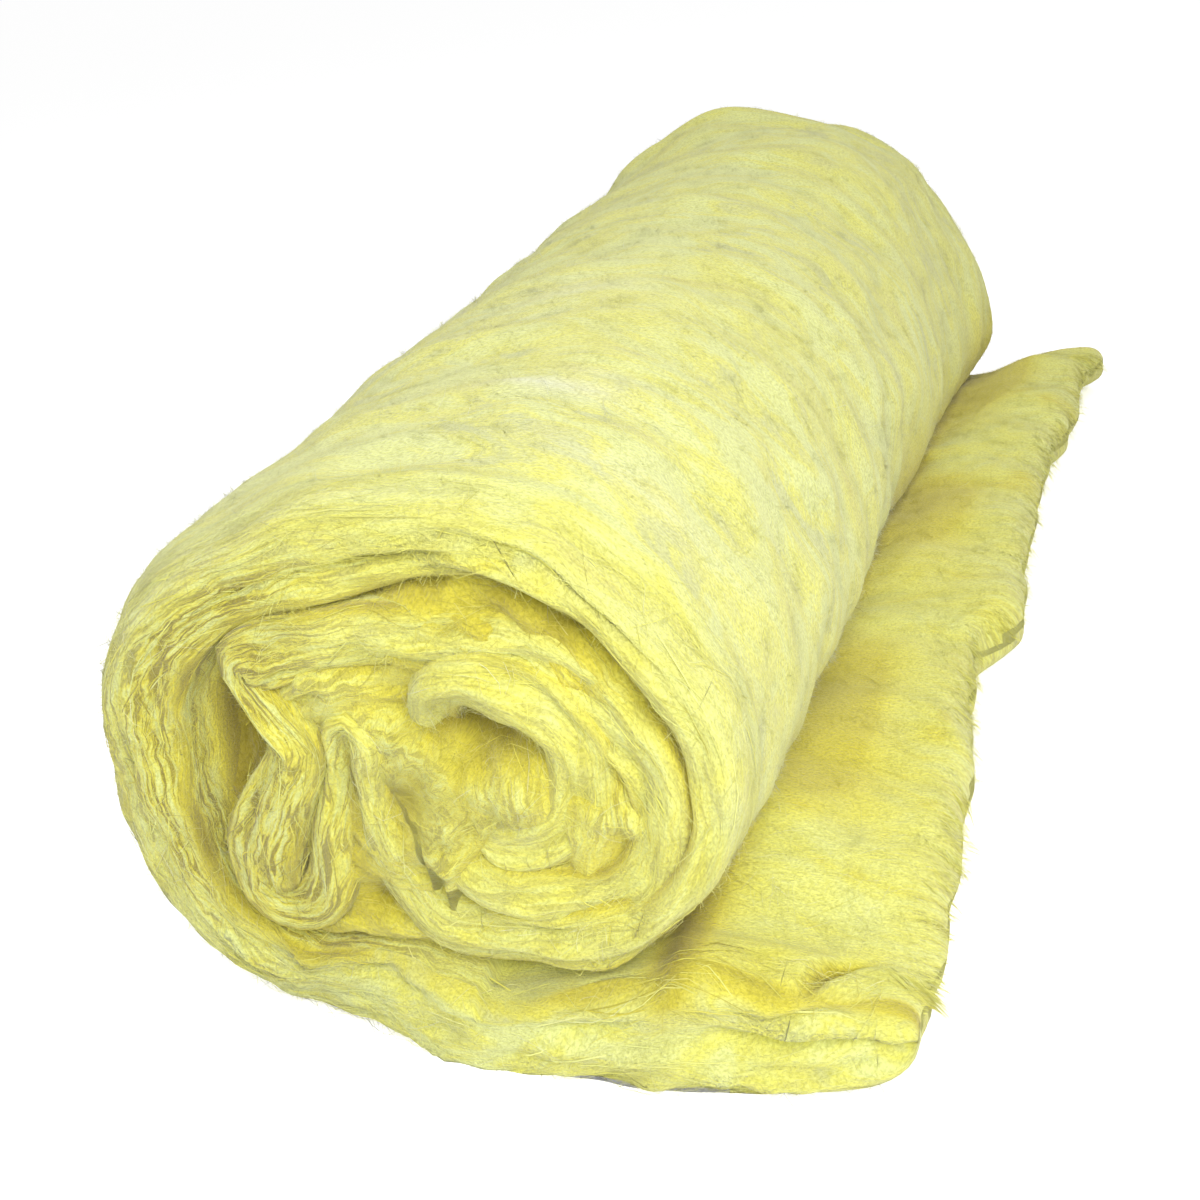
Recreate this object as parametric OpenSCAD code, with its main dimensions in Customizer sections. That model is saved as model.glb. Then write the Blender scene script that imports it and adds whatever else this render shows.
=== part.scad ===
// Roll of glass wool insulation, lying on the floor with its loose end run out beside it.
// One blanket makes the whole object: a strip of wool, wound from its loose end into a sagging roll.
// X runs across the roll towards the loose end, Y along the roll, Z up from the floor.

/* [Blanket] */
// Width of the blanket across its strip, which is the length of the roll
blanket_w = 1200; // [600:10:1500]
// Thickness of the wool in the loose end and at the start of the outer turn
blanket_t = 56; // [30:1:75]
// Share of that thickness which the wool loses with each turn towards the heart
squeeze = 0.12; // [0:0.01:0.15]
// Depth of the bulge on the blanket's cut side edges
edge_round = 13; // [4:1:30]
// Length of the rounded lip on the blanket's two cut ends
end_round = 20; // [6:1:30]

/* [Roll] */
// Width across the roll at its near end
roll_w = 420; // [320:5:600]
// Height of the roll at its near end
roll_h = 378; // [300:5:560]
// Gap between one turn and the next
turn_gap = 5; // [3:0.5:10]
// How far the heart of the roll lies off its middle, towards the loose end
heart_x = 33; // [0:1:60]
// Height of the heart of the roll above the floor
heart_z = 198; // [150:1:280]
// Radius of the hollow where the winding stops at the heart
heart_r = 11; // [8:1:40]
// How far the roll would reach below the floor if it kept its shape
sag = 16; // [5:1:25]
// How much wider the roll is at its loosely wound far end
far_widen = 24; // [0:1:50]
// How much lower the roll is at its far end
far_settle = 26; // [0:1:45]
// How far the top of the roll leans back from the loose end at its far end
far_lean = 54; // [0:1:60]
// How far the foot of the roll slides out towards the loose end at its far end
far_slide = 40; // [0:1:50]

/* [Folds] */
// Width of the hollow between the outer turn and the inner coil
hollow_w = 30; // [0:1:36]
// How far the inner coil buckles in beside that hollow
buckle_depth = 13; // [0:1:18]
// Width of the crease on the other side, round the innermost turn
crease_w = 11; // [0:1:16]
// How far the first layer has slipped out at the near end, beside the loose end
slip = 24; // [0:1:60]
// How far the side edges wander as the roll is wound
edge_wander = 8; // [0:1:16]

/* [Loose end] */
// Reach of the loose end at its near corner, from under the middle of the roll
tail_reach = 301; // [250:5:700]
// How much the wool swells where it comes out from under the roll
nip_swell = 44; // [5:1:60]
// Share of that height which the roll presses out of it at its far end
far_press = 0.6; // [0:0.05:0.7]
// Height of the lifted near corner of the loose end
near_lift = 12; // [0:1:40]
// Height of the lifted far corner of the loose end
far_lift = 10; // [0:1:60]

/* [Hidden] */

// Stations along the strip, and points across it
stations_per_turn = 46;
tail_stations = 14;
end_stations = 3;
face_steps = 6;
edge_steps = 3;

// The wool is pressed this far into the floor plane, then cut flat by it
floor_press = blanket_t / 18;
// Fullness of the outline: 2 is an ellipse, more is squarer
full_on_floor = 3.7;
full_above = 2.2;
full_ellipse = 2;
// Angles round the heart, clockwise from the floor, of the folds, and how far each spreads
hollow_angle = 88;
hollow_spread = 34;
buckle_angle = 94;
buckle_spread = 13;
crease_angle = 280;
crease_spread = 36;
// Turns after which the inner coil draws in, and the innermost turn after it
inner_from = 0.85;
inner_to = 1.2;
innermost_from = 1.55;
innermost_to = 1.85;
// Search for the end of the winding: first turn looked at, step, and the most turns wound
first_turn = 1.1;
turn_step = 0.005;
most_turns = 8;
// Thickness left at a cut end, as a share
lip_share = 0.45;
// Place along the strip of the slipped edge, how far it spreads, and the wander's wave and start
slip_place = -0.26 * roll_w;
slip_spread = 0.36 * roll_w;
wander_wave = 1.43 * roll_w;
wander_phase = 70;
wander_fade = 0.6 * roll_w;
// Heights over which the far end leans and slides, as shares of the roll's, and the sliding foot's width
lean_from = 0.35;
lean_over = 0.4;
slide_from = 0.17;
slide_over = 0.33;
slide_w = roll_w / 4;
// Width over which the nip is pressed down, and how far up the roll follows, as a share of its height
press_w = roll_w / 6;
press_fade = 1.8;
// How sharply each lifted corner of the loose end rises towards its tip
near_sharp = 8;
far_sharp = 6;

// How far the roll's outline reaches from its heart each way
left_r = roll_w / 2 + heart_x;
right_r = roll_w / 2 - heart_x;
top_r = roll_h - heart_z;
floor_r = heart_z + floor_press;
over_tail_r = floor_r - blanket_t - turn_gap;

function smooth(t) = let (c = min(max(t, 0), 1)) c * c * (3 - 2 * c);
function bell(t) = exp(-t * t);
function mix(a, b, t) = a + (b - a) * t;
function angle_of(u) = 360 * (u - floor(u));
function oval(angle, across, up, full) =
    pow(pow(abs(sin(angle)) / across, full) + pow(abs(cos(angle)) / up, full), -1 / full);

// Outside of the outer turn at an angle clockwise from the floor, seen from the near end
function outline(angle) =
    angle < 90 ? min(oval(angle, left_r, heart_z + sag, full_on_floor), floor_r / max(cos(angle), 0.1)) :
    angle < 180 ? oval(angle, left_r, top_r, full_above) :
    angle < 270 ? oval(angle, right_r, top_r, full_ellipse) :
    oval(angle, right_r, over_tail_r, full_ellipse);

// Thickness of the wool after u turns, and how far its outside has closed in by then
thinning = blanket_t * squeeze;
function wool_t(u) = blanket_t - thinning * u;
function closed_in(u) = (blanket_t + turn_gap + thinning / 2) * u - thinning / 2 * u * u;

// How far the inner coil draws in after u turns: a hollow and a buckle on one side, a crease on the other
function drawn_in(u) =
    let (
        angle = angle_of(u),
        inner = smooth((u - inner_from) / (inner_to - inner_from)),
        innermost = smooth((u - innermost_from) / (innermost_to - innermost_from)),
        hollow = hollow_w * bell((angle - hollow_angle) / hollow_spread),
        buckle = buckle_depth * bell((angle - buckle_angle) / buckle_spread),
        crease = crease_w * bell((angle - crease_angle) / crease_spread)
    )
    inner * (hollow + buckle) + innermost * crease;

// Radius of the wool's outside and inside after u turns
function outside_r(u) = outline(angle_of(u)) - closed_in(u) + closed_in(u - floor(u)) - drawn_in(u);
function inside_r(u) = outside_r(u) - wool_t(u);

// The winding stops where the hollow at the heart has closed to its radius
function wound(u) = u > most_turns || inside_r(u) < heart_r ? u : wound(u + turn_step);
turns = wound(first_turn);

// A station is [x outside, z outside, x inside, z inside, distance along the strip from under the middle]
function polar(r, angle) = [heart_x - r * sin(angle), heart_z - r * cos(angle)];
function winding_station(u) =
    let (
        angle = angle_of(u),
        distance = PI * u * (roll_w - closed_in(u)) - heart_x
    )
    concat(polar(outside_r(u), angle), polar(inside_r(u), angle), [distance]);

// The loose end fills the nip under the roll's side, then falls away to its own thickness
nip_x = heart_x + right_r * sqrt(1 - pow(1 - nip_swell / over_tail_r, 2));
function under_roll(x) = heart_z - turn_gap - over_tail_r * sqrt(1 - pow((x - heart_x) / right_r, 2));
function past_nip(x) = max(x - nip_x, 0) / (tail_reach - nip_x);
function tail_top(x) = mix(under_roll(min(x, nip_x)), blanket_t, smooth(past_nip(x)));
function tail_station(x) = [x, -floor_press, x, tail_top(x), -x];

// Near a cut end the wool thins to a rounded lip: share is 0 at the cut and 1 past the rounding
function lip(s, share) =
    let (
        thin = mix(lip_share, 1, sqrt(1 - pow(1 - share, 2))),
        x = (s[0] + s[2]) / 2,
        z = (s[1] + s[3]) / 2
    )
    [mix(x, s[0], thin), mix(z, s[1], thin), mix(x, s[2], thin), mix(z, s[3], thin), s[4]];

lip_turns = end_round / (2 * PI * (heart_r + wool_t(turns) / 2));
tail_lip = [for (i = [0:end_stations - 1])
    lip(tail_station(tail_reach - end_round * i / end_stations), i / end_stations)];
tail_run = [for (i = [0:tail_stations - 1])
    tail_station(mix(tail_reach - end_round, heart_x, i / tail_stations))];
winding_steps = ceil(turns * stations_per_turn);
winding = [for (i = [0:winding_steps - 1])
    winding_station(mix(0, turns - lip_turns, i / winding_steps))];
heart_lip = [for (i = [0:end_stations])
    lip(winding_station(mix(turns - lip_turns, turns, i / end_stations)), 1 - i / end_stations)];
stations = concat(tail_lip, tail_run, winding, heart_lip);

// Section across the strip as [place across from -1 to 1, 1 outside to -1 inside], with bulging side edges
flat_share = 1 - 2 * edge_round / blanket_w;
function face_row(side) = [for (i = [0:face_steps])
    [side * mix(-flat_share, flat_share, i / face_steps), side]];
function edge_row(side) = [for (i = [1:edge_steps])
    let (a = 180 * i / (edge_steps + 1))
    [side * (flat_share + (1 - flat_share) * sin(a)), side * cos(a)]];
section = concat(face_row(1), edge_row(1), face_row(-1), edge_row(-1));
ring = len(section);

// Sideways slip of the strip at a distance along it
function slipped(d) =
    edge_wander * sin(360 * d / wander_wave + wander_phase) * smooth(d / wander_fade)
        - slip * bell((d - slip_place) / slip_spread);

// The far end is loose: wider and lower, its top leans back, and its foot slides out and presses on the nip
nip_z = under_roll(nip_x);
function leaning(z) = smooth((z / roll_h - lean_from) / lean_over);
function sliding(x, z) =
    smooth((x - heart_x) / slide_w) * (1 - smooth((z / roll_h - slide_from) / slide_over));
function following(z) = z < nip_z ? z : nip_z * (1 - smooth((z - nip_z) / (press_fade * nip_z)));
function far_shift(x, z) =
    far_widen * (x / roll_w + 1 / 2) - far_lean * leaning(z) + far_slide * sliding(x, z);
function far_drop(x, z) = far_settle * z / roll_h + far_press * bell((x - nip_x) / press_w) * following(z);

// One point of the blanket: station s, section point p
function blanket_point(s, p) =
    let (
        y = p[0] * blanket_w / 2 + slipped(s[4]),
        along = (p[0] + 1) / 2,
        x = mix(s[0], s[2], (1 - p[1]) / 2),
        z = mix(s[1], s[3], (1 - p[1]) / 2),
        out = s[4] < 0 ? pow(past_nip(s[0]), 2) : 0,
        lift = out * (near_lift * pow(1 - along, near_sharp) + far_lift * pow(along, far_sharp))
    )
    [x + far_shift(x, z) * along * along, y, z - far_drop(x, z) * along + lift];

module strip() {
    points = [for (s = stations) for (p = section) blanket_point(s, p)];
    last = (len(stations) - 1) * ring;
    sides = [for (i = [0:len(stations) - 2]) for (j = [0:ring - 1])
        let (a = i * ring + j, b = i * ring + (j + 1) % ring)
        each [[a, b, b + ring], [a, b + ring, a + ring]]];
    // Each cut end is a narrow face, closed by pairs of triangles between its outside and its inside
    caps = [for (j = [0:face_steps - 1])
        let (a = j, b = j + 1, c = 2 * face_steps + edge_steps - j, d = c + 1)
        each [[a, d, b], [b, d, c], [last + a, last + b, last + d], [last + b, last + c, last + d]]];
    rims = [for (k = [face_steps, ring - edge_steps - 1]) for (j = [1:edge_steps])
        each [[k, (k + j + 1) % ring, k + j], [last + k, last + k + j, last + (k + j + 1) % ring]]];
    polyhedron(points = points, faces = concat(sides, caps, rims), convexity = 10);
}

// The wool lies on the floor, which presses its underside flat
module above_floor() {
    reach = 2 * (tail_reach + roll_w);
    translate([-reach, -blanket_w, 0]) cube([2 * reach, 2 * blanket_w, 2 * roll_h]);
}

module wool_blanket() {
    color("khaki") intersection() {
        strip();
        above_floor();
    }
}

wool_blanket();
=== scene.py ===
"""Dresses a roll of glass wool insulation: the wound blanket, its loose fibres and a plain studio."""

import math

import bpy
import numpy as np
from bpy.props import FloatProperty, FloatVectorProperty, IntProperty, IntVectorProperty, PointerProperty
from mathutils import Matrix, Vector


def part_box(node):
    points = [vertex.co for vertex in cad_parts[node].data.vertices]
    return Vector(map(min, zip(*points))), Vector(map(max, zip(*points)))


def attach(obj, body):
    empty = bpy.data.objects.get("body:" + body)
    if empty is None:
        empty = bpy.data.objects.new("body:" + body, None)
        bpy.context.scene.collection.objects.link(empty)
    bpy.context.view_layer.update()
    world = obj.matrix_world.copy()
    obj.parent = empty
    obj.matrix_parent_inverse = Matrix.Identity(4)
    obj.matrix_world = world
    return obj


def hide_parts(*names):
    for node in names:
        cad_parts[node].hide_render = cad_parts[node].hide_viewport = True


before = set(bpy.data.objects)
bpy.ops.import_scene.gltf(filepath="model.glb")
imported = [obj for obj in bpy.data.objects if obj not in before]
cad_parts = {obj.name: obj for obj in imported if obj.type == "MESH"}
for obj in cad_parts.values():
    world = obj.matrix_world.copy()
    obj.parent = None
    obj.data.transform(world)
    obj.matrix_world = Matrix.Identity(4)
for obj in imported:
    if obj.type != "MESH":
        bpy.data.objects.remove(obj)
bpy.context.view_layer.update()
node_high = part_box("wool_blanket")[1]

bl_info = {
    "name": "Glass Wool Roll",
    "version": (1, 0, 0),
    "blender": (4, 5, 0),
    "location": "View3D > Sidebar > Wool Roll",
    "description": "Winds a glass wool blanket into a roll and dresses it with loose fibres",
    "category": "Object",
}

NODE = "wool_blanket"
BODY = "root"
MM = 0.001

# The blanket's grid: stations along it, points across each face, and points through its thickness
STATIONS, TAIL_STATIONS, LIP_STATIONS = 430, 66, 7
ACROSS, RIM_ACROSS = 90, 9
THROUGH = 16
RIM_WIDTH = 70 * MM
# The loose wool inside: points round it and out from the heart
FILLING_ROUND, FILLING_OUT = 200, 40
# Its middle, hidden behind a fold: across and up, in millimetres
FILLING_MIDDLE = (-8, 185)
# Height of a loose fibre's ridge, for its half width
RIDGE = 0.4

# Fullness of the roll's outline on the floor and above it, where 2 is an ellipse
FULL_ON_FLOOR, FULL_ABOVE, FULL_ELLIPSE = 3.7, 2.2, 2.0
# Shares of the roll's height over which the far end leans and slides, and of the nip's that it follows
LEAN_FROM, LEAN_OVER = 0.35, 0.4
SLIDE_FROM, SLIDE_OVER = 0.17, 0.33
PRESS_FADE = 1.8
# How sharply the corners of the loose end rise
NEAR_SHARP, FAR_SHARP = 8, 6
# The outer turn ends here, as a share of the way round, and the folds of the inner coil go on from it
FOLDS_FROM = 0.84
# Angles round the heart, clockwise from the floor, where the outer turn is thick or thin, with its spread
THICK_ANGLE, THICK_SPREAD, THICKER = 105, 42, 0.3
THIN_ANGLE, THIN_SPREAD, THINNER = 255, 62, 0.5
FLOOR_ANGLE, FLOOR_SPREAD, FLOOR_THICKER = 30, 22, 0.32
TOP_ANGLE, TOP_SPREAD, TOP_THICKER = 162, 28, 0.2
# Middle line of the folds, seen at the near end, in millimetres: across, up, thickness of the wool, and how
# far it is set back
FOLD_LINE = (
    (112, 98, 48, 0), (72, 92, 50, 2), (36, 88, 50, 0), (6, 97, 48, 0), (-14, 122, 42, 2), (-20, 150, 35, 2),
    # A fold stands up beside the heart and comes back down
    (-21, 180, 28, 0), (-17, 206, 27, -5), (-15, 223, 26, -7), (-22, 234, 25, -8), (-34, 225, 24, -7),
    (-43, 200, 25, -4), (-51, 172, 27, -1), (-58, 143, 30, 0), (-65, 114, 36, 0),
    # It turns under, and the left side buckles in to a point
    (-77, 93, 40, 2), (-95, 87, 42, 4), (-110, 99, 44, 4), (-107, 122, 46, 2), (-97, 148, 44, 0),
    (-82, 180, 37, 0), (-66, 204, 31, 0), (-60, 220, 28, 0), (-68, 237, 27, 0), (-82, 253, 27, 2),
    # It turns over, crosses the top and comes down the right
    (-91, 268, 29, 6), (-75, 279, 38, 4), (-45, 286, 42, 2), (-8, 291, 44, 0), (32, 294, 42, 0),
    (66, 293, 39, 2), (97, 285, 38, 4), (125, 266, 40, 4), (148, 241, 42, 2), (165, 213, 42, 0),
    (168, 182, 40, 2), (158, 150, 38, 4), (138, 130, 36, 4),
    # The innermost turn is pressed in behind the fold, and ends in a hook
    (108, 123, 35, 4), (76, 120, 35, 2), (49, 123, 34, 4), (28, 134, 30, 12), (17, 154, 26, 26),
    (14, 182, 26, 34), (16, 212, 26, 34), (24, 242, 26, 20), (38, 262, 28, 8), (60, 271, 31, 2),
    (84, 268, 34, 0), (105, 254, 37, 0), (119, 232, 40, 0), (120, 202, 40, 0), (109, 175, 38, 0),
    (88, 158, 34, 0), (63, 154, 28, 2), (43, 160, 20, 8),
)
# Where the cut of the loose end stands out or back: place along the roll, and how far, in millimetres
CUT_LINE = (
    (-600, 6), (-540, 5), (-450, 1), (-300, 3), (-250, -12), (-120, -20), (-92, 4), (-68, 15), (-30, 4),
    (20, 0), (150, -8), (330, -12), (362, 0), (470, -10), (560, -10), (600, 6),
)
# How far the near corner of the loose end is torn back
CORNER_BACK = 16 * MM
# Splits in the near edge: distance along the strip and place through it, how long and wide, how deep
SPLITS = (
    (0.05, -0.1, 0.07, 0.14, 0.026), (0.17, -0.4, 0.045, 0.12, 0.014), (0.345, -0.55, 0.035, 0.14, 0.014),
    (0.47, 0.1, 0.05, 0.1, 0.009), (0.86, -0.25, 0.12, 0.13, 0.014), (1.0, 0.25, 0.09, 0.1, 0.009),
)
# Lumps on the outside: share of the way round and place along the roll, how far each spreads, and how high
LUMPS = (
    (0.44, 0.56, 0.05, 0.09, 0.024), (0.24, -0.55, 0.08, 0.16, 0.007), (0.39, -0.56, 0.05, 0.13, -0.009),
)
# Pale wisps on the outside: share of the way round, place along the roll, how far each spreads, and how pale
WISPS = (
    (0.525, -0.412, 0.04, 0.012, 1.0), (0.545, -0.385, 0.03, 0.008, 0.7), (0.6, -0.5, 0.05, 0.012, 0.5),
    (0.47, -0.2, 0.05, 0.03, 0.4),
)
# Hollows in the ends: middle across and up, half width and height, and extra depth, in millimetres
HOLLOWS = (
    (-118, 190, 32, 74, 42), (52, 243, 42, 20, 28), (-30, 92, 26, 16, 18), (35, 322, 95, 12, 12),
    # Wool that stands forward between the folds
    (-34, 267, 44, 11, -12), (76, 196, 28, 22, -11), (26, 143, 18, 30, -14),
)
# A slit in the top of the loose end: place from the cut and along the roll, slant, half sizes and depth
SLIT_FROM_CUT, SLIT_ALONG, SLIT_SLANT = 0.052, -0.58, 0.5
SLIT_WIDE, SLIT_LONG, SLIT_DEEP = 0.007, 0.03, 0.018

# Places along the loose end, the outer turn and the folds from which the winding is worked out
TAIL_STEPS, TURN_STEPS, FOLD_STEPS = 300, 1200, 44
# How far back along the outer turn the folds take their direction, and over how many places it is softened
LEAD_STEPS, SOFTEN_STEPS = 90, 41
# Layers of noise in the soft lumps: how strong, length along the strip, width across it, a place and a seed
LUMP_LAYERS = (
    (1.0, 0.24, 0.19, 0.3, 11), (0.7, 0.11, 0.09, 0.7, 12), (0.6, 0.055, 0.05, 1.1, 13),
    (0.5, 0.03, 0.035, 1.5, 14), (0.5, 0.07, 0.022, 1.9, 15),
)
# Unevenness of the inner coil: how far it wanders, with its length, and how much its thickness varies
WOBBLE_LAYERS = ((2.5 * MM, 0.06, 17), (1.5 * MM, 0.024, 19))
UNEVEN, UNEVEN_LENGTH = 0.18, 0.055
# Raggedness of the cut edges, and the torn layers in them: how strong, length along the strip, and thickness
RAGGED_LAYERS = ((4 * MM, 0.09, 21), (2.5 * MM, 0.028, 22))
TORN_LAYERS = ((1.0, 0.07, 9.5 * MM, 23), (0.6, 0.03, 5.5 * MM, 24))
WAVER, WAVER_LENGTH = 6 * MM, 0.04
# Raggedness of the loose end's cut: how strong and how wide each layer is, and how far back it reaches
CUT_LAYERS = ((5 * MM, 0.05, 32), (6 * MM, 0.03, 33))
CUT_BACK = 0.05
# Shares of its thickness that the wool loses towards a cut edge and outside the outer turn, and the share of
# that loss which is left where it rests on the floor
DIP, OUTER_DIP, RESTING_DIP = 0.12, 0.24, 0.3
# How far the wool swells between turns: in the folds, in the outer turn and inside the last turn
FOLD_SWELL, TURN_SWELL, HEART_SWELL = 9 * MM, 15 * MM, 20 * MM
# Shares of that swelling that are left at the cut edges of the outer turn and of the folds
TURN_RIM_SWELL, FOLD_RIM_SWELL = 0.1, 0.35
# Shares of the edge's bulge where the outer turn rests on the floor, in the loose end, and at the far rim
RESTING_ROUND, LOOSE_ROUND, FAR_ROUND = 0.35, 1.7, 0.5
# Share of a half circle that the edge's bulge follows
BULGE_REACH = 0.98
# Relief of the torn layers in the loose end, for that of the rest
LOOSE_RELIEF = 1.5
# The loose wool inside: lumps (height, size and seed), streaks, and how far it falls back at its rim
FILLING_LUMPS = ((7 * MM, 0.06, 61), (5 * MM, 0.03, 62), (4 * MM, 0.014, 64))
STREAK, STREAK_WIDTH = 5 * MM, 7 * MM
RIM_BACK = 16 * MM
# How much painted shade it has, the hollow that makes the painted shade full, the lump that takes it away,
# and how torn it is
FILLING_SHADE, DEEP_HOLLOW, PALE_LUMP, FILLING_TORN = 0.32, 34 * MM, 18 * MM, 0.6
# Depths behind a cut edge over which a face between turns comes to take its painted shade
SHADE_FROM, SHADE_OVER = 12 * MM, 30 * MM
# The nip, where golden painted shade lies: from its line, how far, how far up, and limit; and the dark
# painted line of shade itself
NIP_PAST, NIP_SPREAD, NIP_UP, NIP_UP_SPREAD, NIP_LIMIT = 40 * MM, 42 * MM, 90 * MM, 60 * MM, 0.55
NIP_LINE = 18 * MM
# Where streaks of torn wool fade to the right, over what width, and what is left of them; being darker on
# average, the streaks also paint the left of the ends darker, as painted shade
STREAKED_TO, STREAKED_OVER, STREAKS_LEFT = -90 * MM, 120 * MM, 0.35
# The floor layer's cut edges take more of the greyer and paler patches: up to this share of the way round,
# over what share it fades, and how strongly
FLOOR_LAYER_TO, FLOOR_LAYER_OVER, FLOOR_LAYER_PATCHES = 0.06, 0.14, 1.5

# How much strands differ in length, in direction within a bunch, and in where they root along and across it
LENGTH_VARIES, TURN_VARIES, ROOTS_ALONG, ROOTS_ACROSS = 0.4, 0.45, 0.35, 0.16
# Limit on how far a bunch stands up, and ranges of rise and width within it
RISE_LIMIT, RISE_RANGE, WIDTH_RANGE = 1.8, (0.5, 1.3), (0.6, 1.4)
# Share of strands whose tips lie down again, how high these arch, and how deep each root is buried
SETTLED, ARCH, ROOT_DEPTH = 0.6, 2.4, 1.2 * MM
# How strands lie: length, spread of directions in degrees, rise off the skin, half width, how pale they are,
# share of them that strays, points along each, how many make a bunch, and how much they curl
HOLLOW_LOCKS = dict(length=26 * MM, spread=30, height=4 * MM, radius=0.26 * MM, wisp=0.1, stray=0.2,
                    points=5, bunch=6, curly=0.4)
HOLLOW_FIBRES = dict(length=18 * MM, spread=45, height=6 * MM, radius=0.14 * MM, wisp=0.2, stray=0.4,
                     points=4, bunch=10, curly=0.5)
HOLLOW_TUFTS = dict(length=9 * MM, spread=60, height=5 * MM, radius=0.22 * MM,
                    wisp=0.1, stray=0.5, points=2, bunch=9)
END_LOCKS = dict(length=45 * MM, spread=14, height=2 * MM, radius=0.4 * MM,
                 wisp=0.08, stray=0.1, points=5, bunch=5)
END_FIBRES = dict(length=30 * MM, spread=35, height=6 * MM, radius=0.14 * MM,
                  wisp=0.2, stray=0.3, points=4, bunch=12)
END_TUFTS = dict(length=9 * MM, spread=50, height=4.5 * MM, radius=0.2 * MM,
                 wisp=0.1, stray=0.4, points=2, bunch=11)
OUTSIDE_FIBRES = dict(length=40 * MM, spread=30, height=3 * MM, radius=0.14 * MM,
                      wisp=0.3, stray=0.2, points=3, bunch=14)
OUTSIDE_TUFTS = dict(length=8 * MM, spread=60, height=4 * MM, radius=0.28 * MM,
                     wisp=0.1, stray=0.6, points=2, bunch=9)
LOOSE_FIBRES = dict(length=35 * MM, spread=30, height=3 * MM, radius=0.14 * MM,
                    wisp=0.2, stray=0.2, points=3, bunch=14)
LOOSE_TUFTS = dict(length=8 * MM, spread=60, height=4 * MM, radius=0.28 * MM,
                   wisp=0.06, stray=0.6, points=2, bunch=9)
FRINGE = dict(length=8 * MM, radius=0.36 * MM, wisp=0.06, bunch=14, droop=0.35)
# Share of the loose end, from its cut, that loose fibres lie on
LOOSE_SHARE = 0.62
# Rows of points beyond a cut edge that its fibres may lie on
EDGE_MARGIN = 3

# Lights: place, what each is turned to, width in metres and power in watts
KEY_LIGHT = dict(place=(0.85, -1.7, 1.4), target=(0.05, -0.3, 0.15), size=1.1, power=33)
TOP_LIGHT = dict(place=(0.4, 0.5, 2.8), target=(0, 0, 0.2), size=2.4, power=12)
FLOOR_SIZE, FLOOR_WHITE, FLOOR_GLOW = 40, 0.85, 0.56
WORLD_LIGHT, WORLD_SEEN = 0.5, 1.0
# Camera, as it stood for the photograph
CAMERA_PLACE = (0.3973, -1.1914, 0.6626)
CAMERA_YAW, CAMERA_PITCH, CAMERA_ROLL = 22.585, 27.42, -8.31
CAMERA_LENS, CAMERA_SENSOR = 42.46, 36.0


def metres(name, description, default):
    return FloatProperty(name=name, description=description, default=default, unit="LENGTH")


def factor(name, description, default):
    return FloatProperty(name=name, description=description, default=default, subtype="FACTOR")


def tint(name, description, default):
    return FloatVectorProperty(
        name=name, description=description, default=default, subtype="COLOR", size=3, min=0, max=1)


class RollSizes(bpy.types.PropertyGroup):
    """Sizes of the blanket and of the roll that it is wound into"""

    blanket_width: metres("Blanket width", "Width across the strip, which is the roll's length", 1200 * MM)
    blanket_thickness: metres("Thickness", "Thickness of the wool in the loose end and outer turn", 56 * MM)
    squeeze: factor("Squeeze", "Share of its thickness that the wool loses with each turn", 0.12)
    edge_round: metres("Edge bulge", "Depth of the bulge on the cut side edges", 16 * MM)
    rim_round: metres("Rim bulge", "Depth of the bulge at the outside of the outer turn", 27 * MM)
    end_round: metres("End lip", "Length of the rounded lip on the cut ends", 24 * MM)
    roll_width: metres("Roll width", "Width across the roll at its near end", 420 * MM)
    roll_height: metres("Roll height", "Height of the roll at its near end", node_high.z)
    turn_gap: metres("Turn gap", "Gap between one turn and the next", 5 * MM)
    heart_x: metres("Heart across", "How far the heart lies off the middle of the roll", 33 * MM)
    heart_z: metres("Heart height", "Height of the heart above the floor", 198 * MM)
    sag: metres("Sag", "How far the roll would reach below the floor if it kept its shape", 16 * MM)
    far_widen: metres("Far widening", "How much wider the roll is at its far end", 24 * MM)
    far_settle: metres("Far settling", "How much lower the roll is at its far end", 26 * MM)
    far_lean: metres("Far lean", "How far the roll's top leans back at its far end", 54 * MM)
    far_slide: metres("Far slide", "How far the roll's foot slides out at its far end", 40 * MM)
    slip: metres("Slip", "How far the first layer has slipped out at the near end", 24 * MM)
    edge_wander: metres("Edge wander", "How far the side edges wander as the roll is wound", 8 * MM)
    tail_reach: metres("Loose end", "Reach of the loose end from under the middle of the roll", 301 * MM)
    nip_swell: metres("Nip swelling", "How much the wool swells where it leaves the roll", 44 * MM)
    far_press: factor("Far press", "Share of that swelling which is pressed out at the far end", 0.6)
    near_lift: metres("Near corner", "Height of the lifted near corner of the loose end", 12 * MM)
    far_lift: metres("Far corner", "Height of the lifted far corner of the loose end", 10 * MM)
    plump: metres("Plumpness", "How far the loose wool outside stands proud of the pressed roll", 5 * MM)
    hollow_depth: metres("Hollow depth", "How far behind the ends the loose wool fills the hollows", 10 * MM)
    lump: metres("Lumps", "Height of the soft lumps on the roll's outside", 7.5 * MM)
    relief: metres("End relief", "Depth of the torn layers on the roll's ends", 6 * MM)


class WoolColours(bpy.types.PropertyGroup):
    """Colours of the wool"""

    lemon: tint("Lemon", "The wool's main colour", (0.86, 0.845, 0.18))
    pale: tint("Pale", "Thin wool and pale wisps", (0.84, 0.88, 0.34))
    # Golden and deep are also painted as shade between turns, in creases and in the nip
    golden: tint("Golden", "Dense wool in folds", (0.80, 0.71, 0.065))
    ash: tint("Ash", "Thin, greyish wool on the outside", (0.72, 0.75, 0.33))
    deep: tint("Deep", "Shaded wool between turns and in creases", (0.34, 0.27, 0.04))
    white: tint("White", "The palest loose fibres", (0.92, 0.94, 0.68))


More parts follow.
